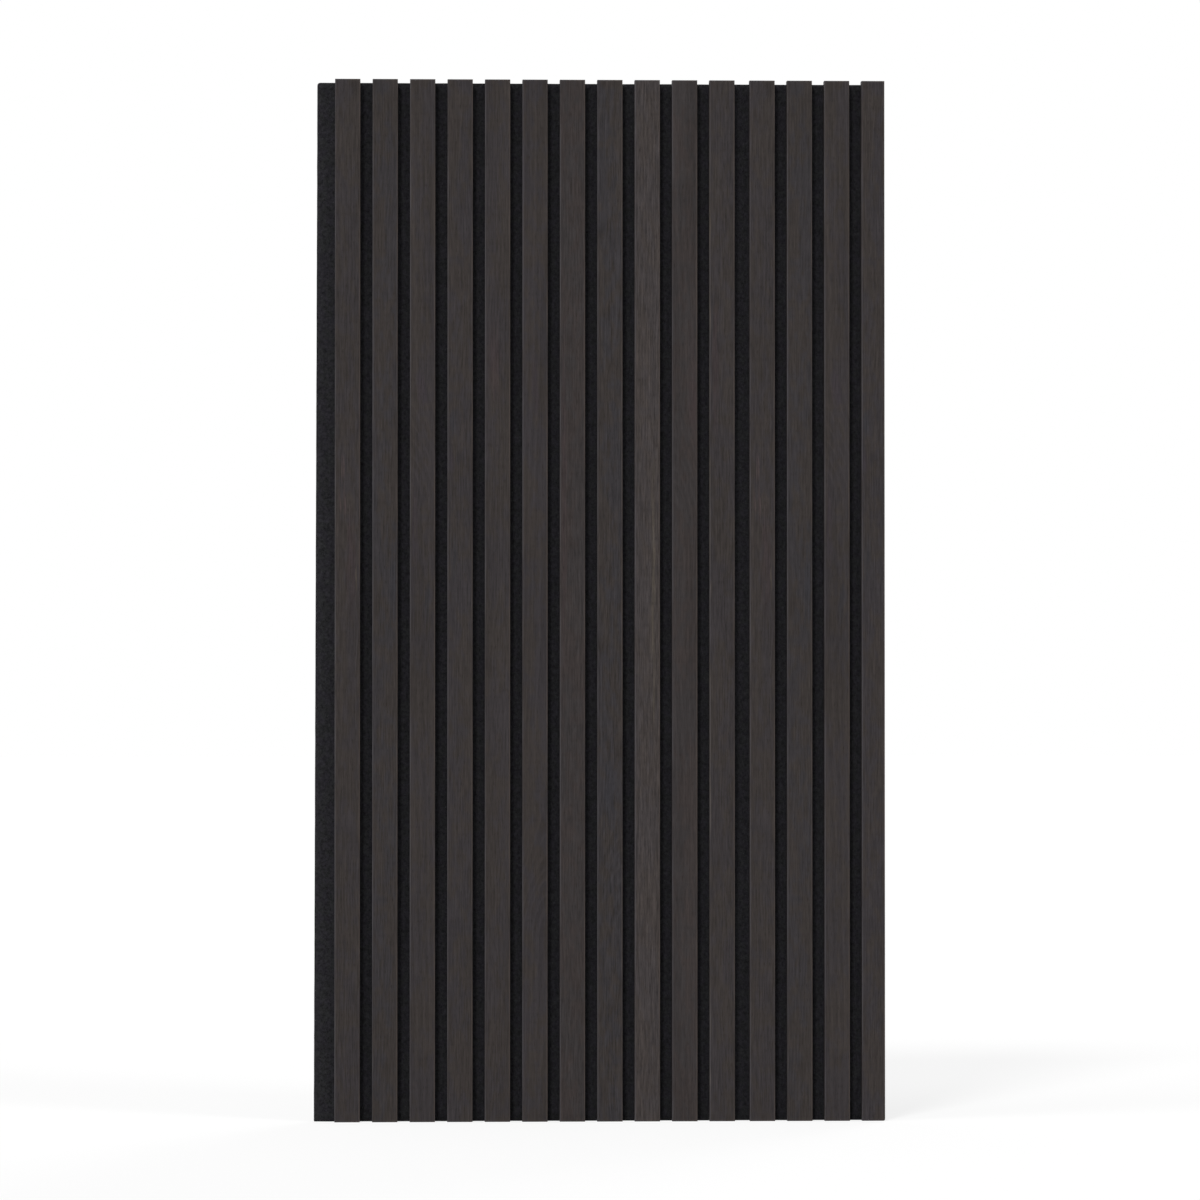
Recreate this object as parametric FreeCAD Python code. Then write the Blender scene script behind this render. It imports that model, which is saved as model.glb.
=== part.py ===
import FreeCAD, Part
import math
import os

# Acoustic slat wall panel: veneered slats stapled to a felt board, in millimetres.
# X runs across the slats, Y goes into the wall and Z is up.
# The origin is on the felt's back face, in the middle of the panel's width and height.

# Slats: the pitch is even apart from one wider gap, and the last slat is ripped narrower
slat_count = 15
slat_width = 27.0
last_slat_width = 24.7
slat_thickness = 12.0
slat_length = 1112.0
slat_gap = 13.0
wide_gap = 16.0
slats_before_wide_gap = 11

# Veneer, folded round the front and both sides of each core
veneer_thickness = 0.6
core_edge_radius = 0.4

# Felt board: its left edge runs slightly out of line with the slats
felt_thickness = 9.0
felt_margin_head = 19.0
felt_margin_foot = 22.0
felt_below_slat_heads = 3.0
felt_head_corner_radius = 3.0
felt_foot_corner_radius = 1.0

# Corner at the foot of the last slat, worn round through slat and felt
worn_corner_radius = 2.0

# Staples, shot from the back with the crown along the slat
staples_per_slat = 4
staple_end_distance = 90.0
staple_crown = 12.8
staple_bite = 7.0
wire_width = 0.95
wire_thickness = 0.65

# Places that follow from the sizes above
slat_widths = [slat_width] * (slat_count - 1) + [last_slat_width]
gaps = [wide_gap if i + 1 == slats_before_wide_gap else slat_gap for i in range(slat_count - 1)]
panel_width = felt_margin_foot + sum(slat_widths) + sum(gaps)
left_side = -panel_width / 2
right_side = panel_width / 2
foot = -slat_length / 2
head = slat_length / 2
felt_head = head - felt_below_slat_heads
felt_front = -felt_thickness
slat_front = felt_front - slat_thickness


def slat_spans():
    # left and right side of every slat, from left to right
    spans = []
    left = left_side + felt_margin_foot
    for i, width in enumerate(slat_widths):
        spans.append((left, left + width))
        if i < len(gaps):
            left += width + gaps[i]
    return spans


def eased_section(left, right, front, radius):
    # slat section on the felt's front, with its two front corners rounded
    def point(x, y):
        return FreeCAD.Vector(x, y, foot)

    dip = radius * (1 - math.sqrt(0.5))
    left_start = point(left, front + radius)
    left_end = point(left + radius, front)
    right_start = point(right - radius, front)
    right_end = point(right, front + radius)
    edges = [
        Part.LineSegment(point(left, felt_front), left_start),
        Part.Arc(left_start, point(left + dip, front + dip), left_end),
        Part.LineSegment(left_end, right_start),
        Part.Arc(right_start, point(right - dip, front + dip), right_end),
        Part.LineSegment(right_end, point(right, felt_front)),
        Part.LineSegment(point(right, felt_front), point(left, felt_front)),
    ]
    return Part.Face(Part.Wire([edge.toShape() for edge in edges]))


def core_section(left, right):
    return eased_section(
        left + veneer_thickness,
        right - veneer_thickness,
        slat_front + veneer_thickness,
        core_edge_radius,
    )


def make_core(left, right):
    return core_section(left, right).extrude(FreeCAD.Vector(0, 0, slat_length))


def make_veneer(left, right):
    # a constant skin: the fold's outer radius is the core's plus the veneer
    outside = eased_section(left, right, slat_front, core_edge_radius + veneer_thickness)
    skin = outside.cut(core_section(left, right)).Faces[0]
    return skin.extrude(FreeCAD.Vector(0, 0, slat_length))


def make_staple(centre_x, centre_z):
    # one bent wire: crown flush with the felt's back, legs through the felt into the core
    leg = felt_thickness + staple_bite
    reach = staple_crown / 2
    inner = reach - wire_thickness
    outline = [
        (0, -reach),
        (0, reach),
        (-leg, reach),
        (wire_thickness - leg, inner),
        (-wire_thickness, inner),
        (-wire_thickness, -inner),
        (wire_thickness - leg, -inner),
        (-leg, -reach),
    ]
    side = centre_x - wire_width / 2
    points = [FreeCAD.Vector(side, y, centre_z + z) for y, z in outline]
    face = Part.Face(Part.makePolygon(points + [points[0]]))
    return face.extrude(FreeCAD.Vector(wire_width, 0, 0))


def staple_heights():
    first = foot + staple_end_distance
    last = felt_head - staple_end_distance
    step = (last - first) / (staples_per_slat - 1)
    return [first + step * i for i in range(staples_per_slat)]


def edge_at(shape, x, z):
    # the edge that runs through the felt's thickness at a corner of its outline
    def distance(edge):
        middle = edge.CenterOfMass
        return math.hypot(middle.x - x, middle.z - z)

    return min(shape.Edges, key=distance)


def make_felt():
    head_left = left_side + felt_margin_foot - felt_margin_head
    outline = [(left_side, foot), (right_side, foot), (right_side, felt_head), (head_left, felt_head)]
    points = [FreeCAD.Vector(x, 0, z) for x, z in outline]
    face = Part.Face(Part.makePolygon(points + [points[0]]))
    board = face.extrude(FreeCAD.Vector(0, felt_front, 0))
    board = board.makeFillet(felt_head_corner_radius, [edge_at(board, head_left, felt_head)])
    return board.makeFillet(felt_foot_corner_radius, [edge_at(board, left_side, foot)])


def make_worn_corner():
    # what is worn away at the right foot corner: a square less the quarter round that stays
    radius = worn_corner_radius
    dip = radius * (1 - math.sqrt(0.5))
    corner = FreeCAD.Vector(right_side, 0, foot)
    beside = FreeCAD.Vector(right_side, 0, foot + radius)
    below = FreeCAD.Vector(right_side - radius, 0, foot)
    arc = Part.Arc(beside, FreeCAD.Vector(right_side - dip, 0, foot + dip), below).toShape()
    wire = Part.Wire([arc, Part.makeLine(below, corner), Part.makeLine(corner, beside)])
    return Part.Face(wire).extrude(FreeCAD.Vector(0, slat_front, 0))


def export(shape, name):
    # a cut leaves its one solid in a compound, which is unwrapped; the staples stay a group
    solid = shape.Solids[0] if len(shape.Solids) == 1 else shape
    solid.exportStep(os.path.join("parts", name + ".step"))


def build():
    os.makedirs("parts", exist_ok=True)
    worn = make_worn_corner()
    spans = slat_spans()
    staples = []
    for number, (left, right) in enumerate(spans, start=1):
        row = Part.makeCompound([make_staple((left + right) / 2, z) for z in staple_heights()])
        core = make_core(left, right).cut(row)
        veneer = make_veneer(left, right)
        if number == slat_count:
            core = core.cut(worn)
            veneer = veneer.cut(worn)
        export(core, f"slat_core_{number:02d}")
        export(veneer, f"slat_veneer_{number:02d}")
        staples += row.Solids
    all_staples = Part.makeCompound(staples)
    export(make_felt().cut(all_staples).cut(worn), "felt_backing")
    export(all_staples, "staples")


build()
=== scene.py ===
import math
import random
import bmesh
import bpy
from mathutils import Matrix, Vector


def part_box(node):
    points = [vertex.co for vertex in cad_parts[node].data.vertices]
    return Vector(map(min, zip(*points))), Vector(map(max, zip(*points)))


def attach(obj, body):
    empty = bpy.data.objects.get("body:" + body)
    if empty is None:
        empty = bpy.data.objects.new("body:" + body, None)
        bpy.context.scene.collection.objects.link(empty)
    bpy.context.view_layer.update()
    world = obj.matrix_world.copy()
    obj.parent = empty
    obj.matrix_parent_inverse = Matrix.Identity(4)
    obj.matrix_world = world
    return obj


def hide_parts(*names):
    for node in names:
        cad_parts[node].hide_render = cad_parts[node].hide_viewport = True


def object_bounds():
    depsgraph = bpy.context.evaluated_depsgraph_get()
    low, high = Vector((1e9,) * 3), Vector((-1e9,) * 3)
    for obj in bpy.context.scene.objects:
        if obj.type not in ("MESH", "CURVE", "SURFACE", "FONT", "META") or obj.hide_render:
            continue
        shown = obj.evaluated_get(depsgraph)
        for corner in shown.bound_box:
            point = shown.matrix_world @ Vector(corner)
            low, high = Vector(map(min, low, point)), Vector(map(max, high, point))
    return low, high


# Acoustic slat wall panel: dark veneered slats on a black felt board.
# Metres. X runs across the slats, the fronts face -Y, Z is up, and the wall is at y = 0.

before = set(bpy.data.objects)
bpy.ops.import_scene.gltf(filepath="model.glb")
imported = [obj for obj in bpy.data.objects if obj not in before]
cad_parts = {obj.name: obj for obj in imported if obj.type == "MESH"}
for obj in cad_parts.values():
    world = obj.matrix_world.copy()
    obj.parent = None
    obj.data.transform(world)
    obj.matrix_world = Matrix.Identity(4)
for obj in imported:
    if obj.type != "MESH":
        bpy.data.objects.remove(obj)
cadLow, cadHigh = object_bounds()
print("frame loaded:", len(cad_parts), "pieces")

slatCount = sum(name.startswith("slat_core_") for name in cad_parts)
feltLow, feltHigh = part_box("felt_backing")


def nodeName(kind, number):
    return f"slat_{kind}_{number:02d}"


def slatSides(number):
    # left and right side of one slat, off its veneer
    low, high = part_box(nodeName("veneer", number))
    return low.x, high.x


allSides = [slatSides(number) for number in range(1, slatCount + 1)]


# Camera: a long lens, a little left of the middle and a little low
cameraSetup = {
    "place": (-0.233, -6.0, -0.0903),
    "aim": (0.0, -0.021, 0.0),  # middle of the slat fronts
    "lens": 168.2,
    "sensor": 36.0,
    "farClip": 200.0,
}


def addCamera():
    bpy.ops.object.camera_add(location=cameraSetup["place"])
    camera = bpy.context.object
    aim = Vector(cameraSetup["aim"]) - camera.location
    camera.rotation_euler = aim.to_track_quat("-Z", "Y").to_euler()
    camera.data.sensor_width = cameraSetup["sensor"]
    camera.data.lens = cameraSetup["lens"]
    camera.data.clip_end = cameraSetup["farClip"]
    bpy.context.scene.camera = camera


# Node helpers: a value is another node's output, a number, a vector or a colour of three numbers
nodeStep = 200  # between nodes in the shader editor


def plug(tree, value, socket):
    if isinstance(value, bpy.types.NodeSocket):
        tree.links.new(value, socket)
    elif socket.type == "RGBA":
        socket.default_value = (*value, 1.0)
    else:
        socket.default_value = value


def addNode(tree, kind, inputs=None, **settings):
    node = tree.nodes.new(kind)
    node.location = (nodeStep * len(tree.nodes), 0)
    for name, value in settings.items():
        setattr(node, name, value)
    for name, value in (inputs or {}).items():
        plug(tree, value, node.inputs[name])
    return node


def calc(tree, operation, *values, clamp=False):
    node = addNode(tree, "ShaderNodeMath", operation=operation, use_clamp=clamp)
    for value, socket in zip(values, node.inputs):
        plug(tree, value, socket)
    return node.outputs[0]


def calcVector(tree, operation, *values):
    node = addNode(tree, "ShaderNodeVectorMath", operation=operation)
    for value, socket in zip(values, node.inputs):
        plug(tree, value, socket)
    return node.outputs[0]


def scaled(tree, vector, amount):
    # a vector or a colour
    inputs = {0: vector, "Scale": amount}
    return addNode(tree, "ShaderNodeVectorMath", inputs, operation="SCALE").outputs[0]


def apart(tree, vector):
    return addNode(tree, "ShaderNodeSeparateXYZ", {0: vector}).outputs


def together(tree, place):
    return addNode(tree, "ShaderNodeCombineXYZ", place).outputs[0]


def stretch(tree, vector, scale, shift=(0, 0, 0)):
    inputs = {"Vector": vector, "Scale": scale, "Location": shift}
    return addNode(tree, "ShaderNodeMapping", inputs).outputs[0]


def noise(tree, vector, scale, detail, roughness=0.5):
    # scale: waves to one unit of the vector, in X, Y and Z
    inputs = {"Vector": stretch(tree, vector, scale), "Scale": 1.0}
    inputs.update({"Detail": detail, "Roughness": roughness})
    return addNode(tree, "ShaderNodeTexNoise", inputs).outputs[0]


def threeNoises(tree, vector, scale, detail):
    # one pattern for each direction, to push a place about
    inputs = {"Vector": vector, "Scale": scale, "Detail": detail}
    return addNode(tree, "ShaderNodeTexNoise", inputs).outputs[1]


def remap(tree, value, fromLow, fromHigh, toLow=0.0, toHigh=1.0):
    inputs = {"Value": value, "From Min": fromLow, "From Max": fromHigh}
    inputs.update({"To Min": toLow, "To Max": toHigh})
    return addNode(tree, "ShaderNodeMapRange", inputs, interpolation_type="SMOOTHSTEP").outputs[0]


def around(tree, value, depth):
    # a 0 to 1 pattern as a swing about zero
    return calc(tree, "MULTIPLY", calc(tree, "SUBTRACT", value, 0.5), depth)


def addUp(tree, first, *others):
    for other in others:
        first = calc(tree, "ADD", first, other)
    return first


def mixColour(tree, amount, under, over):
    node = addNode(tree, "ShaderNodeMix", data_type="RGBA")
    plug(tree, amount, node.inputs[0])
    plug(tree, under, node.inputs[6])
    plug(tree, over, node.inputs[7])
    return node.outputs[2]


def mixShader(tree, amount, under, over):
    return addNode(tree, "ShaderNodeMixShader", {0: amount, 1: under, 2: over}).outputs[0]


def newGroup(name, inputs, outputs):
    tree = bpy.data.node_groups.new(name, "ShaderNodeTree")
    for label, default in inputs.items():
        kind = "NodeSocketVector" if default is None else "NodeSocketFloat"
        socket = tree.interface.new_socket(name=label, in_out="INPUT", socket_type=kind)
        if default is not None:
            socket.default_value = default
    for label in outputs:
        kind = "NodeSocketVector" if label == "Vector" else "NodeSocketFloat"
        tree.interface.new_socket(name=label, in_out="OUTPUT", socket_type=kind)
    entry = addNode(tree, "NodeGroupInput").outputs
    return tree, entry


def closeGroup(tree, results):
    addNode(tree, "NodeGroupOutput", results)
    return tree


def useGroup(tree, group, inputs):
    return addNode(tree, "ShaderNodeGroup", inputs, node_tree=group).outputs


def newMaterial(name):
    material = bpy.data.materials.new(name)
    material.use_nodes = True
    tree = material.node_tree
    return material, tree, tree.nodes["Principled BSDF"]


def objectPlace(tree, shift=(0, 0, 0)):
    coordinates = addNode(tree, "ShaderNodeTexCoord").outputs["Object"]
    return stretch(tree, coordinates, (1, 1, 1), shift)


def addBump(tree, shader, height, strength, distance):
    inputs = {"Height": height, "Strength": strength, "Distance": distance}
    bump = addNode(tree, "ShaderNodeBump", inputs)
    plug(tree, bump.outputs[0], shader.inputs["Normal"])


# Light: a soft key from the upper left, a low lamp farther round on each side, a lamp behind
# for the back, and white surroundings
lightSetup = {
    # turn: degrees left of straight on, height: above the horizon, softness: degrees across
    "Key": {"turn": 21.0, "height": 42.0, "strength": 1.37, "softness": 12.0},
    "Left": {"turn": 65.0, "height": 20.0, "strength": 1.13, "softness": 30.0},
    "Right": {"turn": -52.0, "height": 25.0, "strength": 0.81, "softness": 16.0},
    "Back": {"turn": 205.0, "height": 35.0, "strength": 0.5, "softness": 20.0},
    "fill": 0.313,  # what diffuse surfaces get from the white surroundings
    "distance": 4.0,  # of the lamps' symbols, with no effect on the light
}


def addSun(name, turn, height, strength, softness):
    turn, height = math.radians(turn), math.radians(height)
    across, up = math.cos(height), math.sin(height)
    towards = Vector((-math.sin(turn) * across, -math.cos(turn) * across, up))
    bpy.ops.object.light_add(type="SUN", location=towards * lightSetup["distance"])
    sun = bpy.context.object
    sun.name = name
    sun.rotation_euler = (-towards).to_track_quat("-Z", "Y").to_euler()
    sun.data.energy = strength
    sun.data.angle = math.radians(softness)


def seenDirectly(tree):
    # 1 for camera, mirror and glass rays, 0 for the rays that only light a surface
    path = addNode(tree, "ShaderNodeLightPath").outputs
    mirrored = calc(tree, "MAXIMUM", path["Is Glossy Ray"], path["Is Transmission Ray"])
    return calc(tree, "MAXIMUM", path["Is Camera Ray"], mirrored)


def addWorld():
    world = bpy.data.worlds.new("White studio")
    world.use_nodes = True
    tree = world.node_tree
    tree.nodes.clear()
    white = (1, 1, 1)
    lit = addNode(tree, "ShaderNodeBackground", {"Color": white, "Strength": lightSetup["fill"]})
    seen = addNode(tree, "ShaderNodeBackground", {"Color": white, "Strength": 1.0})
    surface = mixShader(tree, seenDirectly(tree), lit.outputs[0], seen.outputs[0])
    addNode(tree, "ShaderNodeOutputWorld", {"Surface": surface})
    bpy.context.scene.world = world


def addLights():
    for name in ("Key", "Left", "Right", "Back"):
        addSun(name, **lightSetup[name])
    addWorld()


# Floor: white where it is lit, pale grey where the panel shades it
floorSetup = {
    "size": 60.0,
    "drop": 0.0002,
    "glow": 0.73,  # steady part of what the camera sees
    "shade": 0.30,  # part that the light and the panel's shadow act on
    "colour": 0.8,  # for every other ray
}


def addFloor():
    look = floorSetup
    place = (0, 0, cadLow.z - look["drop"])
    bpy.ops.mesh.primitive_plane_add(size=look["size"], location=place)
    floor = bpy.context.object
    floor.name = "floor"
    bpy.ops.object.transform_apply(location=True)
    material = bpy.data.materials.new("Pale floor")
    material.use_nodes = True
    tree = material.node_tree
    tree.nodes.clear()
    shade = addNode(tree, "ShaderNodeBsdfDiffuse", {"Color": [look["shade"]] * 3}).outputs[0]
    glow = addNode(tree, "ShaderNodeEmission", {"Strength": look["glow"]}).outputs[0]
    shown = addNode(tree, "ShaderNodeAddShader", {0: shade, 1: glow}).outputs[0]
    plain = addNode(tree, "ShaderNodeBsdfDiffuse", {"Color": [look["colour"]] * 3}).outputs[0]
    above = mixShader(tree, seenDirectly(tree), plain, shown)
    clear = addNode(tree, "ShaderNodeBsdfTransparent").outputs[0]
    below = addNode(tree, "ShaderNodeNewGeometry").outputs["Backfacing"]
    addNode(tree, "ShaderNodeOutputMaterial", {"Surface": mixShader(tree, below, above, clear)})
    floor.data.materials.append(material)


# Shared effects
def makeUnfolded():
    # the veneer laid flat: what is on a slat's side carries on from the front's edge
    tree, given = newGroup("Unfolded veneer", {"Place": None}, ["Vector"])
    place = apart(tree, given["Place"])
    side = calc(tree, "SIGN", place["X"])
    across = calc(tree, "MULTIPLY_ADD", side, place["Y"], place["X"])
    return closeGroup(tree, {"Vector": together(tree, {"X": across, "Z": place["Z"]})})


grainForm = {
    # waves of each pattern to a metre: across, from seed to seed and along
    "scale": {
        "sway": (22, 1, 7),
        "fibre": (960, 1, 36),
        "strand": (7400, 1, 240),
        "streak": (240, 1, 6),
        "band": (45, 1, 4),
        "mottle": (430, 1, 62),
        "drift": (120, 1, 58),
        "broad": (36, 1, 12),
        "foldPatches": (25, 1, 11),
        "pores": (3400, 1, 130),
        "uneven": (160, 1, 3),  # outwards from the heart in place of across
    },
    "seedShift": 7.3,  # along, from one seed's grain to the next
    "sway": 0.006,  # sideways wander of the whole grain
    "uneven": 0.006,  # wander of the rings
    "archReach": 0.07,  # above and below the arch's height
    "fibreRange": (0.30, 0.70),
    "poreRange": (0.62, 0.74),
    "darkening": (0.04, 0.50),  # where in a ring its late wood begins and is full
    "clearing": (1.0, 0.90),  # and where it is gone and is still full
    "broken": (0.35, 0.60, 0.3, 1.0),  # how the streaks break up the rings
    "ringMean": 0.45,
    "broadDrift": 0.85,
    "fibreDrift": 0.12,
    "driftRange": (0.34, 0.66),
    "poreHollow": 0.8,
}


def makeGrain():
    # straight fibres, pores and growth rings that arch where the cut runs near the heart
    form = grainForm
    inputs = {"Vector": None, "Seed": 0.0, "Heart across": 0.06, "Heart depth": 0.01, "Slope": 0.01}
    inputs.update({"Arch height": 0.0, "Arch rise": 0.0, "Ring gap": 0.003})
    inputs.update({"Strand": 0.6, "Fibre": 0.3, "Streak": 0.4, "Ring": 0.1, "Mottle": 0.5, "Band": 0.2})
    outputs = ["Tone", "Drift", "Fold patches", "Strand", "Pores", "Height"]
    tree, given = newGroup("Veneer grain", inputs, outputs)

    def pattern(name, vector, detail=1.0):
        return noise(tree, vector, form["scale"][name], detail)

    flat = apart(tree, given["Vector"])
    along = calc(tree, "MULTIPLY_ADD", given["Seed"], form["seedShift"], flat["Z"])
    place = {"X": flat["X"], "Y": given["Seed"], "Z": along}
    start = together(tree, place)
    place["X"] = calc(tree, "ADD", flat["X"], around(tree, pattern("sway", start, 0.0), form["sway"]))
    grown = together(tree, place)
    fibre = remap(tree, pattern("fibre", grown), *form["fibreRange"])
    strand = pattern("strand", grown)
    streak = pattern("streak", grown)
    band = pattern("band", start, 0.0)
    mottle = pattern("mottle", grown)
    drift = pattern("drift", start)
    broad = pattern("broad", start, 0.0)
    foldPatches = pattern("foldPatches", start)
    pores = remap(tree, pattern("pores", grown, 0.0), *form["poreRange"])
    # rings round the heart, uneven in width and strength
    off = calc(tree, "SUBTRACT", place["X"], given["Heart across"])
    deep = calc(tree, "MULTIPLY", given["Heart depth"], given["Heart depth"])
    radius = calc(tree, "SQRT", calc(tree, "MULTIPLY_ADD", off, off, deep))
    radius = calc(tree, "MULTIPLY_ADD", flat["Z"], given["Slope"], radius)
    above = calc(tree, "SUBTRACT", flat["Z"], given["Arch height"])
    arched = remap(tree, above, -form["archReach"], form["archReach"])
    radius = calc(tree, "MULTIPLY_ADD", arched, given["Arch rise"], radius)
    place["X"] = radius
    uneven = pattern("uneven", together(tree, place))
    radius = calc(tree, "MULTIPLY_ADD", uneven, form["uneven"], radius)
    turn = calc(tree, "FRACT", calc(tree, "DIVIDE", radius, given["Ring gap"]))
    darker = remap(tree, turn, *form["darkening"])
    late = calc(tree, "MULTIPLY", darker, remap(tree, turn, *form["clearing"]))
    rings = calc(tree, "MULTIPLY", late, remap(tree, streak, *form["broken"]))
    tone = addUp(
        tree,
        1.0,
        around(tree, fibre, given["Fibre"]),
        around(tree, strand, given["Strand"]),
        around(tree, streak, given["Streak"]),
        around(tree, mottle, given["Mottle"]),
        around(tree, band, given["Band"]),
        calc(tree, "MULTIPLY", calc(tree, "SUBTRACT", form["ringMean"], rings), given["Ring"]),
    )
    # the hue drifts broadly, in patches and also from fibre to fibre
    broad = around(tree, broad, form["broadDrift"])
    drift = addUp(tree, drift, broad, around(tree, fibre, form["fibreDrift"]))
    drift = remap(tree, drift, *form["driftRange"])
    height = calc(tree, "MULTIPLY_ADD", pores, -form["poreHollow"], strand)
    results = {"Tone": tone, "Drift": drift, "Fold patches": foldPatches}
    results.update({"Strand": strand, "Pores": pores, "Height": height})
    return closeGroup(tree, results)


foldHighlightForm = {
    "patches": (0.35, 0.60, 0.30, 1.0),  # range of the patch pattern, and the painted highlight from least to full
    "leftReach": 0.006,  # from the slat's middle to where the left fold's painted highlight colour is whole
}


def makeFoldHighlight():
    # painted highlight along the folds and the sawn ends, in patches, standing in for light caught on
    # the edges
    inputs = {"Vector": None, "Fold patches": 0.5, "Half width": 0.0135, "Half length": 0.556, "Reach": 0.0012}
    tree, given = newGroup("Painted fold highlight", inputs, ["Mask", "Left"])
    flat = apart(tree, given["Vector"])
    out = calc(tree, "SUBTRACT", calc(tree, "ABSOLUTE", flat["X"]), given["Half width"])
    fold = calc(tree, "DIVIDE", calc(tree, "ABSOLUTE", out), given["Reach"])
    inside = calc(tree, "SUBTRACT", given["Half length"], calc(tree, "ABSOLUTE", flat["Z"]))
    end = calc(tree, "DIVIDE", inside, given["Reach"])
    near = calc(tree, "SUBTRACT", 1.0, calc(tree, "MINIMUM", fold, end), clamp=True)
    patchy = remap(tree, given["Fold patches"], *foldHighlightForm["patches"])
    left = remap(tree, flat["X"], foldHighlightForm["leftReach"], -foldHighlightForm["leftReach"])
    return closeGroup(tree, {"Mask": calc(tree, "MULTIPLY", near, patchy), "Left": left})


lickForm = {
    "wanderScale": (40, 1, 30),
    "wander": 0.004,
    "stripScale": (700, 1, 22),
    "strandDepth": 1.2,
    "stripDepth": 3.2,
    "edge": (1.3, -0.3),  # where a lick starts and is whole: 1 is its outline, 0 its middle
}


def makeLick():
    # one tapered lick of another colour, broken up by the strands that it runs through
    form = lickForm
    inputs = {"Vector": None, "Strand": 0.5, "Across": 0.0, "Along": 0.0}
    inputs.update({"Half width": 0.002, "Half length": 0.03})
    tree, given = newGroup("Lick", inputs, ["Mask"])
    flat = apart(tree, given["Vector"])
    wander = around(tree, noise(tree, given["Vector"], form["wanderScale"], 0.0), form["wander"])
    side = calc(tree, "SUBTRACT", calc(tree, "ADD", flat["X"], wander), given["Across"])
    side = calc(tree, "DIVIDE", side, given["Half width"])
    far = calc(tree, "SUBTRACT", flat["Z"], given["Along"])
    far = calc(tree, "DIVIDE", far, given["Half length"])
    spread = calc(tree, "MULTIPLY_ADD", far, far, calc(tree, "MULTIPLY", side, side))
    strips = around(tree, noise(tree, given["Vector"], form["stripScale"], 1.0), form["stripDepth"])
    ragged = calc(tree, "ADD", around(tree, given["Strand"], form["strandDepth"]), strips)
    return closeGroup(tree, {"Mask": remap(tree, calc(tree, "ADD", spread, ragged), *form["edge"])})


speckForm = {
    "bumps": 0.6,  # waves of a speck's outline to its size
    "push": 5.0,  # how far they push it, in its size
}


def makeSpecks():
    # small scattered flecks of uneven outline: lint on felt, pale chips in fibreboard
    inputs = {"Vector": None, "Spacing": 0.005, "Size": 0.0002, "Share": 0.3}
    tree, given = newGroup("Specks", inputs, ["Mask"])
    density = calc(tree, "DIVIDE", 1.0, given["Spacing"])
    finer = calc(tree, "DIVIDE", speckForm["bumps"], given["Size"])
    offset = threeNoises(tree, given["Vector"], finer, 1.0)
    offset = calcVector(tree, "SUBTRACT", offset, (0.5, 0.5, 0.5))
    push = calc(tree, "MULTIPLY", given["Size"], speckForm["push"])
    offset = scaled(tree, offset, push)
    place = calcVector(tree, "ADD", given["Vector"], offset)
    cells = addNode(tree, "ShaderNodeTexVoronoi", {"Vector": place, "Scale": density}).outputs
    reach = calc(tree, "DIVIDE", given["Size"], given["Spacing"])
    near = calc(tree, "DIVIDE", cells["Distance"], reach)
    near = calc(tree, "SUBTRACT", 1.0, near, clamp=True)
    drawn = calc(tree, "LESS_THAN", apart(tree, cells["Color"])["X"], given["Share"])
    return closeGroup(tree, {"Mask": calc(tree, "MULTIPLY", near, drawn)})


matForm = {
    "curlScale": 0.8,
    "curl": (2.6, 2.6, 2.6),
    "fibres": ((0.9, 0.022), (1.7, 0.030), (3.1, 0.045)),  # waves and width of three kinds
    "napScale": (5, 5, 5),
    "tuftScale": (1.3, 1.3, 1.3),
    "tuftRange": (0.54, 0.80),
    "clumpScale": (0.8, 0.8, 0.8),
    "cloudScale": (90, 90, 90),  # to a metre, where the others are to one grain of the mat
    "fibreHeight": 0.35,
    "tuftHeight": 0.5,
}


def makeFibreMat():
    # a pressed mat: thin curled fibres over a fine nap, with small tufts and thicker places
    form = matForm
    outputs = ["Fibres", "Tufts", "Clumps", "Cloud", "Nap", "Height"]
    tree, given = newGroup("Fibre mat", {"Vector": None, "Density": 500.0}, outputs)
    fine = scaled(tree, given["Vector"], given["Density"])
    curl = threeNoises(tree, fine, form["curlScale"], 0.0)
    bent = calcVector(tree, "MULTIPLY_ADD", curl, form["curl"], fine)
    kinds = []
    for scale, width in form["fibres"]:
        lines = noise(tree, bent, (scale, scale, scale), 0.0)
        off = calc(tree, "ABSOLUTE", calc(tree, "SUBTRACT", lines, 0.5))
        kinds.append(remap(tree, off, width, 0.0))
    fibres = calc(tree, "MAXIMUM", kinds[0], calc(tree, "MAXIMUM", kinds[1], kinds[2]))
    nap = noise(tree, fine, form["napScale"], 1.0)
    tufts = remap(tree, noise(tree, fine, form["tuftScale"], 3.0, 0.75), *form["tuftRange"])
    clumps = noise(tree, fine, form["clumpScale"], 2.0, 0.6)
    cloud = noise(tree, given["Vector"], form["cloudScale"], 2.0, 0.6)
    raised = calc(tree, "MULTIPLY", fibres, form["fibreHeight"])
    height = addUp(tree, nap, raised, calc(tree, "MULTIPLY", tufts, form["tuftHeight"]), clumps)
    results = {"Fibres": fibres, "Tufts": tufts, "Clumps": clumps}
    results.update({"Cloud": cloud, "Nap": nap, "Height": height})
    return closeGroup(tree, results)


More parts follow.
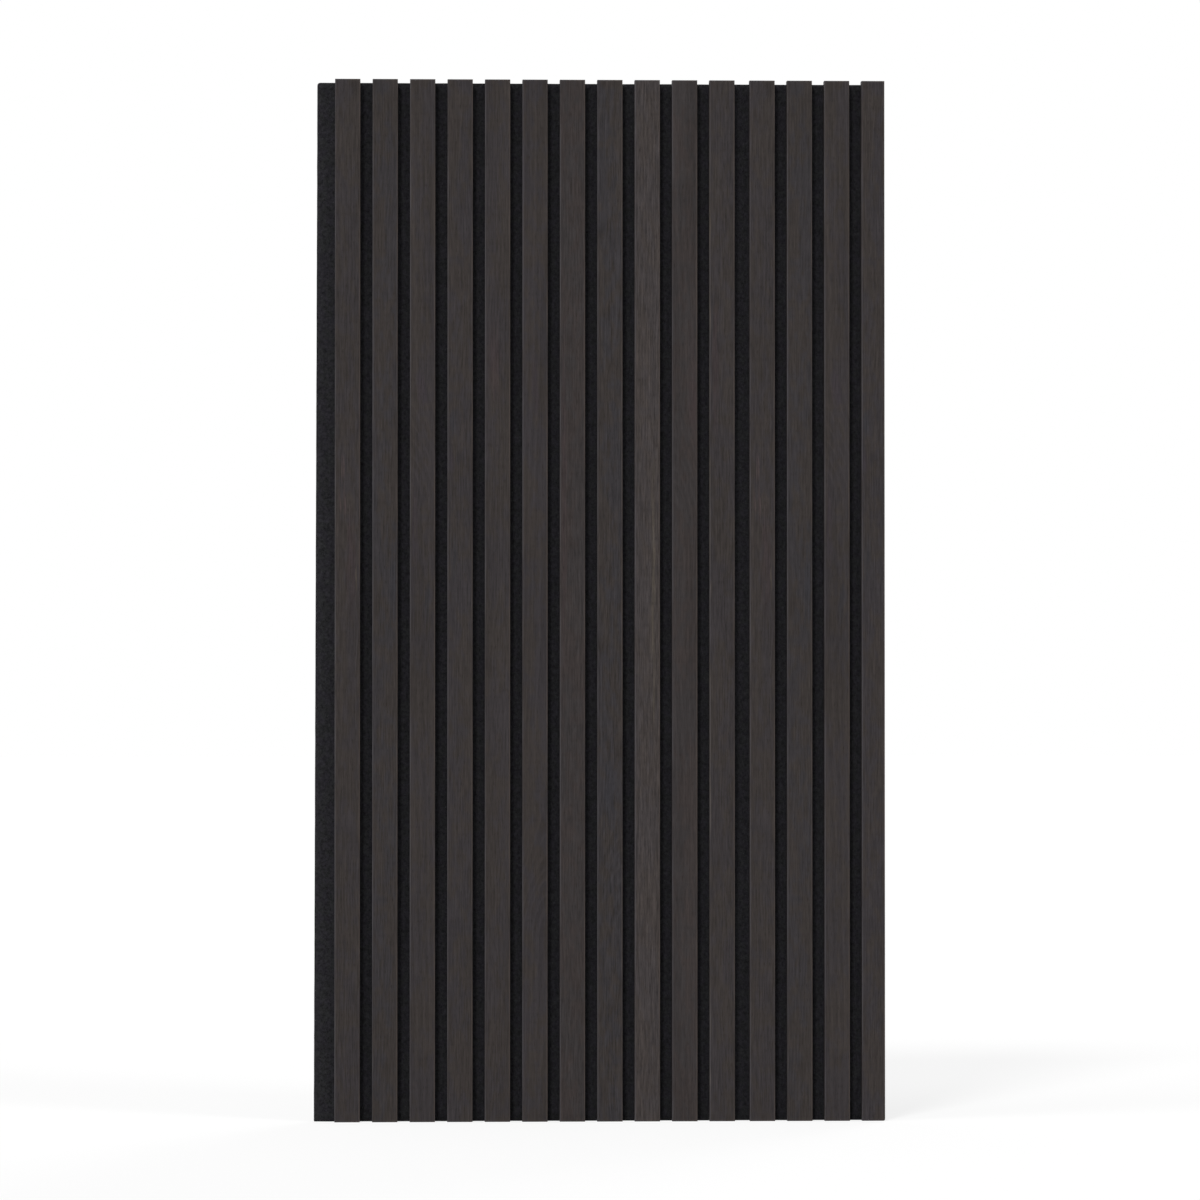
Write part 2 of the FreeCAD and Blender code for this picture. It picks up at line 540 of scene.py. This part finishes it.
# Veneer: smoked brown wood that leans to plum and slate in places
stains = {
    "brown": {"warm": (0.0282, 0.0228, 0.0210), "cool": (0.0264, 0.0223, 0.0237)},
    "umber": {"warm": (0.0279, 0.0226, 0.0208), "cool": (0.0253, 0.0223, 0.0243)},
    "rose": {"warm": (0.0289, 0.0226, 0.0216), "cool": (0.0264, 0.0224, 0.0226)},
    "plum": {"warm": (0.0283, 0.0228, 0.0210), "cool": (0.0261, 0.0223, 0.0243)},
    "slate": {"warm": (0.0277, 0.0224, 0.0207), "cool": (0.0249, 0.0222, 0.0245)},
    "pale": {"warm": (0.0388, 0.0315, 0.0295), "cool": (0.0370, 0.0312, 0.0315)},
}
veneerLook = {
    "strand": 0.70,
    "fibre": 0.36,
    "streak": 0.46,
    "mottle": 0.50,
    "poreColour": (0.011, 0.008, 0.007),
    "poreDepth": 0.55,
    "lickDepth": 0.60,
    # painted highlight: a paler colour along the folds and sawn ends, with a little coat there
    "foldHighlightColour": (0.074, 0.057, 0.049),
    "leftFoldHighlightColour": (0.062, 0.0585, 0.065),  # painted highlight on the left folds, greyer than on the right
    "foldHighlightDepth": 0.62,
    "foldHighlightReach": 0.0017,
    "foldHighlightCoat": 0.15,
    "coatRoughness": 0.40,
    "roughness": 0.62,
    "toneRoughness": 0.25,  # more where the wood is darker
    "poreRoughness": 0.2,
    "specular": 0.16,
    "bump": 0.45,
    "bumpDistance": 0.00010,
}

# Lick colours; the last is a painted highlight for a lit left fold
pinkLick = (0.060, 0.042, 0.042)
creamLick = (0.067, 0.056, 0.044)
blushLick = (0.0340, 0.0232, 0.0240)
mauveLick = (0.0280, 0.0217, 0.0276)
slateLick = (0.0238, 0.0232, 0.0282)
paintedLeftFoldLine = (0.098, 0.080, 0.058)

# Ring shapes: heart across, heart depth, slope, arch height, arch rise, gap between rings, strength
straight = (0.070, 0.010, 0.010, 0.0, 0.0, 0.0030, 0.16)
leaning = (-0.055, 0.010, -0.016, 0.0, 0.0, 0.0034, 0.16)
archedHigh = (-0.013, 0.006, 0.012, 0.165, 0.036, 0.0062, 0.21)
archedLow = (0.012, 0.010, 0.016, -0.290, 0.030, 0.0050, 0.22)
archedMiddle = (-0.012, 0.009, 0.010, 0.150, 0.030, 0.0052, 0.16)

# One row for each slat from the left: stain, ring shape, contrast, depth of soft bands and licks
# (across, along, half width, half length, colour). After the wide gap the same veneers come again.
slatLooks = [
    ("brown", straight, 1.05, 0.15, [
        (-0.0049, 0.140, 0.0018, 0.017, pinkLick),
        (-0.0030, 0.105, 0.0020, 0.020, pinkLick),
        (-0.0082, 0.106, 0.0015, 0.015, pinkLick),
        (0.0095, 0.025, 0.0010, 0.016, creamLick),
        (0.0040, 0.040, 0.0060, 0.060, blushLick),
    ]),
    ("umber", leaning, 1.02, 0.15, [(0.0080, 0.010, 0.0040, 0.060, slateLick)]),
    ("brown", archedHigh, 0.80, 0.50, [
        (-0.0085, 0.085, 0.0035, 0.050, mauveLick),
        (0.0050, 0.000, 0.0040, 0.022, slateLick),
        (-0.0010, 0.225, 0.0060, 0.020, mauveLick),
    ]),
    ("plum", straight, 1.05, 0.24, [
        (-0.0075, 0.189, 0.0035, 0.016, slateLick),
        (-0.0090, 0.148, 0.0030, 0.014, mauveLick),
        (-0.0065, 0.045, 0.0045, 0.026, slateLick),
    ]),
    ("brown", leaning, 0.94, 0.42, [(-0.0030, 0.255, 0.0070, 0.045, blushLick)]),
    ("plum", archedLow, 0.66, 0.34, [(0.0000, 0.230, 0.0040, 0.035, mauveLick)]),
    ("rose", straight, 1.12, 0.05, [(-0.0090, 0.120, 0.0030, 0.180, blushLick)]),
    ("slate", archedLow, 1.32, 0.05, [(0.0000, -0.205, 0.0070, 0.050, slateLick)]),
    ("pale", leaning, 1.43, 0.12, [(0.0062, 0.025, 0.0024, 0.155, creamLick)]),
    ("rose", archedMiddle, 0.86, 0.50, [(0.0085, 0.230, 0.0050, 0.060, blushLick)]),
    ("brown", straight, 1.12, 0.22, [
        (-0.0070, 0.250, 0.0040, 0.080, blushLick),
        # a painted highlight along the left fold, where the lamps from the left catch it
        (-0.0141, 0.000, 0.0015, 0.900, paintedLeftFoldLine),
    ]),
]


ringNames = ("Heart across", "Heart depth", "Slope", "Arch height", "Arch rise", "Ring gap", "Ring")


def makeVeneer(number, groups):
    seed = (number - 1) % len(slatLooks)
    stain, rings, contrast, band, licks = slatLooks[seed]
    low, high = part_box(nodeName("veneer", number))
    look = veneerLook
    material, tree, shader = newMaterial(f"Smoked veneer {number:02d}")
    place = objectPlace(tree, (-(low.x + high.x) / 2, -low.y, 0))
    flat = useGroup(tree, groups["unfolded"], {"Place": place})["Vector"]
    grainInputs = {"Vector": flat, "Seed": seed + 1.0, "Band": band, **dict(zip(ringNames, rings))}
    for name in ("Strand", "Fibre", "Streak", "Mottle"):
        grainInputs[name] = look[name.lower()] * contrast
    grain = useGroup(tree, groups["grain"], grainInputs)
    colour = mixColour(tree, grain["Drift"], stains[stain]["warm"], stains[stain]["cool"])
    for across, along, halfWidth, halfLength, lickColour in licks:
        lickInputs = {"Vector": flat, "Strand": grain["Strand"], "Across": across, "Along": along}
        lickInputs.update({"Half width": halfWidth, "Half length": halfLength})
        lick = useGroup(tree, groups["lick"], lickInputs)["Mask"]
        colour = mixColour(tree, calc(tree, "MULTIPLY", lick, look["lickDepth"]), colour, lickColour)
    colour = scaled(tree, colour, grain["Tone"])
    pores = calc(tree, "MULTIPLY", grain["Pores"], look["poreDepth"])
    colour = mixColour(tree, pores, colour, look["poreColour"])
    # painted highlight along the folds and the sawn ends, greyer on the left folds, with a little coat
    # there
    foldHighlightInputs = {"Vector": flat, "Fold patches": grain["Fold patches"], "Half width": (high.x - low.x) / 2}
    foldHighlightInputs.update({"Half length": cadHigh.z, "Reach": look["foldHighlightReach"]})
    foldHighlight = useGroup(tree, groups["foldHighlight"], foldHighlightInputs)
    foldHighlightTint = mixColour(tree, foldHighlight["Left"], look["foldHighlightColour"], look["leftFoldHighlightColour"])
    colour = mixColour(tree, calc(tree, "MULTIPLY", foldHighlight["Mask"], look["foldHighlightDepth"]), colour, foldHighlightTint)
    plug(tree, colour, shader.inputs["Base Color"])
    least = look["roughness"] + look["toneRoughness"]
    rough = calc(tree, "MULTIPLY_ADD", grain["Tone"], -look["toneRoughness"], least)
    rough = calc(tree, "MULTIPLY_ADD", pores, look["poreRoughness"], rough)
    plug(tree, rough, shader.inputs["Roughness"])
    plug(tree, calc(tree, "MULTIPLY", foldHighlight["Mask"], look["foldHighlightCoat"]), shader.inputs["Coat Weight"])
    shader.inputs["Coat Roughness"].default_value = look["coatRoughness"]
    shader.inputs["Specular IOR Level"].default_value = look["specular"]
    addBump(tree, shader, grain["Height"], look["bump"], look["bumpDistance"])
    return material


# Fibreboard: tan, closer and darker towards its pressed faces, seen at the sawn ends
boardLook = {
    "colour": (0.330, 0.215, 0.122),
    "skin": (0.205, 0.130, 0.075),
    "skinRange": (0.28, 0.5),  # from the board's middle, in its thickness
    "density": 900.0,
    "cloudDepth": 0.35,
    "fleck": (0.520, 0.390, 0.255),
    "fleckDepth": 0.6,
    "flecks": {"Spacing": 0.0012, "Size": 0.00045, "Share": 0.35},
    "grit": (0.150, 0.088, 0.048),
    "gritScale": (2600, 2600, 2600),
    "gritDepth": 0.7,
    "gritRange": (0.60, 0.75, 0.0, 0.6),
    "sawScale": (1500, 60, 60),
    "sawHeight": 0.5,
    "matHeight": 0.5,
    "roughRange": (0.2, 0.8),  # of the grit, for the least and the greatest roughness
    "roughness": (0.80, 0.96),
    "specular": 0.2,
    "bump": 0.6,
    "bumpDistance": 0.00025,
}


def makeFibreboard(groups):
    look = boardLook
    material, tree, shader = newMaterial("Sawn fibreboard")
    low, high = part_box(nodeName("core", 1))
    place = objectPlace(tree, (0, -(low.y + high.y) / 2, 0))
    deep = calc(tree, "ABSOLUTE", apart(tree, place)["Y"])
    skin = remap(tree, deep, *[(high.y - low.y) * share for share in look["skinRange"]])
    colour = mixColour(tree, skin, look["colour"], look["skin"])
    mat = useGroup(tree, groups["fibreMat"], {"Vector": place, "Density": look["density"]})
    cloud = around(tree, mat["Cloud"], look["cloudDepth"])
    grit = noise(tree, place, look["gritScale"], 2.0, 0.7)
    colour = scaled(tree, colour, addUp(tree, 1.0, cloud, around(tree, grit, look["gritDepth"])))
    flecks = useGroup(tree, groups["specks"], {"Vector": place, **look["flecks"]})["Mask"]
    colour = mixColour(tree, calc(tree, "MULTIPLY", flecks, look["fleckDepth"]), colour, look["fleck"])
    colour = mixColour(tree, remap(tree, grit, *look["gritRange"]), colour, look["grit"])
    plug(tree, colour, shader.inputs["Base Color"])
    rough = remap(tree, grit, *look["roughRange"], *look["roughness"])
    plug(tree, rough, shader.inputs["Roughness"])
    shader.inputs["Specular IOR Level"].default_value = look["specular"]
    sawn = calc(tree, "MULTIPLY", noise(tree, place, look["sawScale"], 2.0, 0.6), look["sawHeight"])
    height = addUp(tree, sawn, calc(tree, "MULTIPLY", mat["Height"], look["matHeight"]))
    addBump(tree, shader, height, look["bump"], look["bumpDistance"])
    return material


# Felt: near black pressed fibre with a little pale lint
feltLook = {
    "colour": (0.0194, 0.0196, 0.0207),
    "violet": (0.0201, 0.0190, 0.0229),
    "violetRange": (0.38, 0.62),
    "density": 480.0,
    "clumpDepth": 2.2,
    "napDepth": 0.9,
    "darkest": 0.25,  # as a share of the colour
    "fibreColour": (0.0499, 0.0494, 0.0544),
    "fibreDepth": 0.35,
    "tuftColour": (0.0476, 0.0474, 0.0527),
    "tuftDepth": 0.70,
    "lintColour": (0.120, 0.120, 0.135),
    "lint": {"Spacing": 0.0055, "Size": 0.00040, "Share": 0.32},
    "roughness": 0.96,
    "fibreGloss": 0.06,
    "specular": 0.02,
    "sheen": 0.015,
    "bump": 0.8,
    "bumpDistance": 0.0004,
}


def makeFelt(groups):
    look = feltLook
    material, tree, shader = newMaterial("Black felt")
    place = objectPlace(tree)
    mat = useGroup(tree, groups["fibreMat"], {"Vector": place, "Density": look["density"]})
    violet = remap(tree, mat["Cloud"], *look["violetRange"])
    colour = mixColour(tree, violet, look["colour"], look["violet"])
    clumps = around(tree, mat["Clumps"], look["clumpDepth"])
    shade = addUp(tree, 1.0, clumps, around(tree, mat["Nap"], look["napDepth"]))
    colour = scaled(tree, colour, calc(tree, "MAXIMUM", shade, look["darkest"]))
    tufts = calc(tree, "MULTIPLY", mat["Tufts"], look["tuftDepth"])
    colour = mixColour(tree, tufts, colour, look["tuftColour"])
    fibres = calc(tree, "MULTIPLY", mat["Fibres"], look["fibreDepth"])
    colour = mixColour(tree, fibres, colour, look["fibreColour"])
    lint = useGroup(tree, groups["specks"], {"Vector": place, **look["lint"]})["Mask"]
    colour = mixColour(tree, lint, colour, look["lintColour"])
    plug(tree, colour, shader.inputs["Base Color"])
    rough = calc(tree, "MULTIPLY_ADD", mat["Fibres"], -look["fibreGloss"], look["roughness"])
    plug(tree, rough, shader.inputs["Roughness"])
    shader.inputs["Specular IOR Level"].default_value = look["specular"]
    shader.inputs["Sheen Weight"].default_value = look["sheen"]
    addBump(tree, shader, mat["Height"], look["bump"], look["bumpDistance"])
    return material


# Staple wire: zinc coated, dulled, with drawing lines along it
wireLook = {
    "colour": (0.400, 0.400, 0.390),
    "dull": (0.170, 0.169, 0.164),
    "dullScale": (600, 600, 300),
    "dullRange": (0.42, 0.64),
    "drawnScale": (7000, 7000, 120),
    "drawnDepth": 0.35,
    "roughness": 0.40,
    "dullRoughness": 0.22,
    "drawnRoughness": 0.12,
    "bump": 0.3,
    "bumpDistance": 0.00003,
}


def makeWire():
    look = wireLook
    material, tree, shader = newMaterial("Zinc wire")
    place = objectPlace(tree)
    drawn = noise(tree, place, look["drawnScale"], 2.0, 0.6)
    dull = remap(tree, noise(tree, place, look["dullScale"], 3.0, 0.6), *look["dullRange"])
    colour = mixColour(tree, dull, look["colour"], look["dull"])
    colour = scaled(tree, colour, addUp(tree, 1.0, around(tree, drawn, look["drawnDepth"])))
    plug(tree, colour, shader.inputs["Base Color"])
    shader.inputs["Metallic"].default_value = 1.0
    duller = calc(tree, "MULTIPLY", dull, look["dullRoughness"])
    rough = addUp(tree, look["roughness"], duller, around(tree, drawn, look["drawnRoughness"]))
    plug(tree, rough, shader.inputs["Roughness"])
    addBump(tree, shader, drawn, look["bump"], look["bumpDistance"])
    return material


# Modelling helpers
def startPiece(name):
    piece = bpy.context.object
    piece.name = name
    piece.data.name = name
    bpy.ops.object.transform_apply(location=True, rotation=True, scale=True)
    bpy.ops.object.mode_set(mode="EDIT")
    return piece


def pick(kind, test):
    # in edit mode, selects just the vertices or the edges that pass the test
    bpy.ops.mesh.select_mode(type=kind)
    bpy.ops.mesh.select_all(action="DESELECT")
    mesh = bpy.context.object.data
    work = bmesh.from_edit_mesh(mesh)
    parts = {"VERT": work.verts, "EDGE": work.edges}[kind]
    for part in parts:
        part.select_set(test(part))
    work.select_flush_mode()
    bmesh.update_edit_mesh(mesh)


def applyModifier(piece, kind, **settings):
    modifier = piece.modifiers.new(kind.title(), kind)
    for name, value in settings.items():
        setattr(modifier, name, value)
    bpy.ops.object.modifier_apply(modifier=modifier.name)


def finishPiece(piece, material, nodeReplaced, angle):
    bpy.ops.object.shade_smooth_by_angle(angle=math.radians(angle))
    piece.data.materials.clear()
    piece.data.materials.append(material)
    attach(piece, "root")
    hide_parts(nodeReplaced)


# Staples: four behind each slat, crown along the slat
stapleShape = {
    "perSlat": 4,
    "endDistance": 0.090,
    "crown": 0.0128,
    "bite": 0.0070,  # into the core, past the felt
    "wireWidth": 0.00095,
    "wireThickness": 0.00065,
    "bendRadius": 0.00045,  # inside the bend
    "bendSteps": 5,
    "crownParts": 4,
    "crownBow": 0.00012,
    "edge": 0.00012,
    "edgeSteps": 2,
    "edgeAngle": 50.0,  # sharper edges than this, in degrees, are eased
    "smoothAngle": 40.0,
    "turn": 2.0,  # degrees either way, as shot
    "sink": 0.00015,
    "seed": 7,
}
mergeDistance = 0.00001


def stapleHeights():
    s = stapleShape
    first, last = feltLow.z + s["endDistance"], feltHigh.z - s["endDistance"]
    step = (last - first) / (s["perSlat"] - 1)
    return [first + step * i for i in range(s["perSlat"])]


def staplePlaces():
    heights = stapleHeights()
    return [((left + right) / 2, height) for left, right in allSides for height in heights]


def modelStaple(feltThickness):
    # the wire's section is drawn up one leg, round both bends and down the other leg
    s = stapleShape
    thick, bend = s["wireThickness"], s["bendRadius"]
    leg = feltThickness + s["bite"]
    bendPlace = s["crown"] / 2 - thick - bend
    straightLeg = leg - thick - bend

    def drawWire(y, z):
        bpy.ops.mesh.extrude_region_move(TRANSFORM_OT_translate={"value": (0, y, z)})

    def bendWire(z):
        centre = (0, -thick - bend, z)
        bpy.ops.mesh.spin(steps=s["bendSteps"], angle=-math.pi / 2, center=centre, axis=(1, 0, 0))

    bpy.ops.object.select_all(action="DESELECT")
    tip = (0, -leg, -(s["crown"] - thick) / 2)
    bpy.ops.mesh.primitive_plane_add(size=1, rotation=(math.pi / 2, 0, 0), location=tip)
    bpy.context.object.scale = (s["wireWidth"], thick, 1)
    piece = startPiece("staple")
    bpy.ops.mesh.select_all(action="SELECT")
    drawWire(straightLeg, 0)
    bendWire(-bendPlace)
    for part in range(s["crownParts"]):
        drawWire(0, 2 * bendPlace / s["crownParts"])
    bendWire(bendPlace)
    drawWire(-straightLeg, 0)
    # the crown bows a little towards the felt in its middle
    middle, pastCrown = bendPlace / s["crownParts"], -1.5 * thick
    pick("VERT", lambda v: v.co.y > pastCrown and abs(v.co.z) < middle)
    bpy.ops.transform.translate(value=(0, -s["crownBow"], 0))
    # both tips are cut slantwise, longer on the outside
    inside, atTip = (s["crown"] - thick) / 2, -leg + 0.2 * thick
    pick("VERT", lambda v: v.co.y < atTip and abs(v.co.z) < inside)
    bpy.ops.transform.translate(value=(0, thick, 0))
    bpy.ops.mesh.select_all(action="SELECT")
    bpy.ops.mesh.remove_doubles(threshold=mergeDistance)
    bpy.ops.mesh.normals_make_consistent(inside=False)
    bpy.ops.object.mode_set(mode="OBJECT")
    sharp = {"limit_method": "ANGLE", "angle_limit": math.radians(s["edgeAngle"])}
    applyModifier(piece, "BEVEL", width=s["edge"], segments=s["edgeSteps"], **sharp)
    return piece


def addStaples(material):
    s = stapleShape
    first = modelStaple(feltHigh.y - feltLow.y)
    draw = random.Random(s["seed"])
    copies = []
    for x, z in staplePlaces():
        copy = first.copy()
        copy.data = first.data.copy()
        bpy.context.collection.objects.link(copy)
        turned = Matrix.Rotation(math.radians(draw.uniform(-1, 1) * s["turn"]), 4, "Y")
        sunk = -draw.random() * s["sink"]
        copy.data.transform(Matrix.Translation((x, sunk, z)) @ turned)
        copies.append(copy)
    bpy.data.objects.remove(first)
    bpy.ops.object.select_all(action="DESELECT")
    for copy in copies:
        copy.select_set(True)
    bpy.context.view_layer.objects.active = copies[0]
    bpy.ops.object.join()
    staples = bpy.context.object
    staples.name = "staple_wires"
    finishPiece(staples, material, "staples", s["smoothAngle"])
    print("staples:", len(copies))


# Felt board: soft rims, dimpled at each staple, swelling a little between the slats
feltBoard = {
    "leftEdgeSlant": 0.003,
    "headCorner": 0.003,
    "wornCorner": 0.002,
    "otherCorners": 0.001,
    "cornerSteps": 6,
    "rim": 0.0009,
    "rimSteps": 3,
    "marginStep": 0.006,  # between cuts up the bare margin, up the gaps and across the board
    "gapStep": 0.0033,
    "rowStep": 0.010,
    "dimpleReach": 0.0045,
    "dimpleDepth": 0.0006,
    "dimpleCuts": (0.0007, 0.0018, 0.0034),  # beside a staple's crown and past its ends
    "gapSwell": 0.0003,
    "cloudSize": 0.022,
    "cloudDepth": 0.00035,
    "smoothAngle": 50.0,
}

# How near a point, an edge or a face has to be to be picked
nearCorner = 0.01
onCorner = 0.0005
onFace = 0.0001
acrossFelt = 0.005  # only edges through the felt reach this far in Y
facingWall = 0.9  # only the two broad faces point this much along Y


def bisectAt(values, normal):
    for value in values:
        bpy.ops.mesh.select_all(action="SELECT")
        bpy.ops.mesh.bisect(plane_co=[value * part for part in normal], plane_no=normal)


def bevelCorner(x, z, radius):
    # rounds one corner of the board's outline, through its whole thickness
    def runsThrough(edge):
        start, end = edge.verts[0].co, edge.verts[1].co
        middle = (start + end) / 2
        return abs(start.y - end.y) > acrossFelt and math.hypot(middle.x - x, middle.z - z) < onCorner

    pick("EDGE", runsThrough)
    bpy.ops.mesh.bevel(offset=radius, segments=feltBoard["cornerSteps"], affect="EDGES")


def evenSteps(low, high, step):
    count = max(1, round((high - low) / step))
    return [low + (high - low) * i / count for i in range(1, count)]


def dimpleWeight(point, places):
    # 1 under a crown, easing to 0 at the dimple's edge
    reach, half = feltBoard["dimpleReach"], stapleShape["crown"] / 2
    nearest = min(math.hypot(point.x - x, max(abs(point.z - z) - half, 0)) for x, z in places)
    share = max(0.0, 1 - max(nearest - stapleShape["wireWidth"] / 2, 0) / reach)
    return share ** 2


def swellWeight(point, gaps):
    for left, right in gaps:
        if left < point.x < right:
            return math.sin(math.pi * (point.x - left) / (right - left)) ** 2
    return 0.0


def setWeights(piece, name, weights):
    group = piece.vertex_groups.new(name=name)
    for index, weight in weights.items():
        if weight > 0:
            group.add([index], weight, "REPLACE")


def addFelt(material):
    b = feltBoard
    low, high = feltLow, feltHigh
    gaps = [(allSides[i][1], allSides[i + 1][0]) for i in range(slatCount - 1)]
    places = staplePlaces()
    bpy.ops.object.select_all(action="DESELECT")
    bpy.ops.mesh.primitive_cube_add(size=1, location=(low + high) / 2)
    bpy.context.object.scale = high - low
    board = startPiece("felt_board")
    pick("VERT", lambda v: v.co.x < low.x + nearCorner and v.co.z > high.z - nearCorner)
    bpy.ops.transform.translate(value=(b["leftEdgeSlant"], 0, 0))
    bevelCorner(low.x + b["leftEdgeSlant"], high.z, b["headCorner"])
    bevelCorner(low.x, low.z, b["otherCorners"])
    bevelCorner(high.x, low.z, b["wornCorner"])
    bevelCorner(high.x, high.z, b["otherCorners"])
    # the rims of both faces
    pick("EDGE", lambda e: sum(abs(face.normal.y) > facingWall for face in e.link_faces) == 1)
    bpy.ops.mesh.bevel(offset=b["rim"], segments=b["rimSteps"], affect="EDGES")
    # cuts where the surface will be shaped
    columns = evenSteps(low.x, allSides[0][0], b["marginStep"])
    for left, right in gaps:
        columns += [left, right] + evenSteps(left, right, b["gapStep"])
    for left, right in allSides:
        columns += [(left + right) / 2 + side * cut for cut in b["dimpleCuts"] for side in (-1, 1)]
    rows = evenSteps(low.z, high.z, b["rowStep"])
    for height in stapleHeights():
        ends = stapleShape["crown"] / 2
        rows += [height + side * (ends + cut) for cut in b["dimpleCuts"] for side in (-1, 1)]
    bisectAt(columns, (1, 0, 0))
    bisectAt(rows, (0, 0, 1))
    bpy.ops.object.mode_set(mode="OBJECT")
    points = board.data.vertices
    back = {v.index: dimpleWeight(v.co, places) for v in points if v.co.y > high.y - onFace}
    front = {v.index: swellWeight(v.co, gaps) for v in points if v.co.y < low.y + onFace}
    setWeights(board, "dimples", back)
    setWeights(board, "swell", front)
    shaped = {"direction": "Y", "mid_level": 0.0}
    applyModifier(board, "DISPLACE", vertex_group="dimples", strength=-b["dimpleDepth"], **shaped)
    applyModifier(board, "DISPLACE", vertex_group="swell", strength=-b["gapSwell"], **shaped)
    clouds = bpy.data.textures.new("Felt clouds", "CLOUDS")
    clouds.noise_scale = b["cloudSize"]
    applyModifier(board, "DISPLACE", texture=clouds, strength=b["cloudDepth"], mid_level=0.5)
    board.vertex_groups.clear()
    finishPiece(board, material, "felt_backing", b["smoothAngle"])
    print("felt board:", len(board.data.polygons), "faces")


def dress(name, material):
    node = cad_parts[name]
    node.data.materials.clear()
    node.data.materials.append(material)


bpy.context.scene.view_settings.view_transform = "Standard"
addCamera()
addLights()
addFloor()
print("camera, lights and floor set")

groups = {
    "unfolded": makeUnfolded(),
    "grain": makeGrain(),
    "foldHighlight": makeFoldHighlight(),
    "lick": makeLick(),
    "specks": makeSpecks(),
    "fibreMat": makeFibreMat(),
}
fibreboard = makeFibreboard(groups)
for number in range(1, slatCount + 1):
    dress(nodeName("veneer", number), makeVeneer(number, groups))
    dress(nodeName("core", number), fibreboard)
print("slats dressed:", slatCount)

addFelt(makeFelt(groups))
addStaples(makeWire())
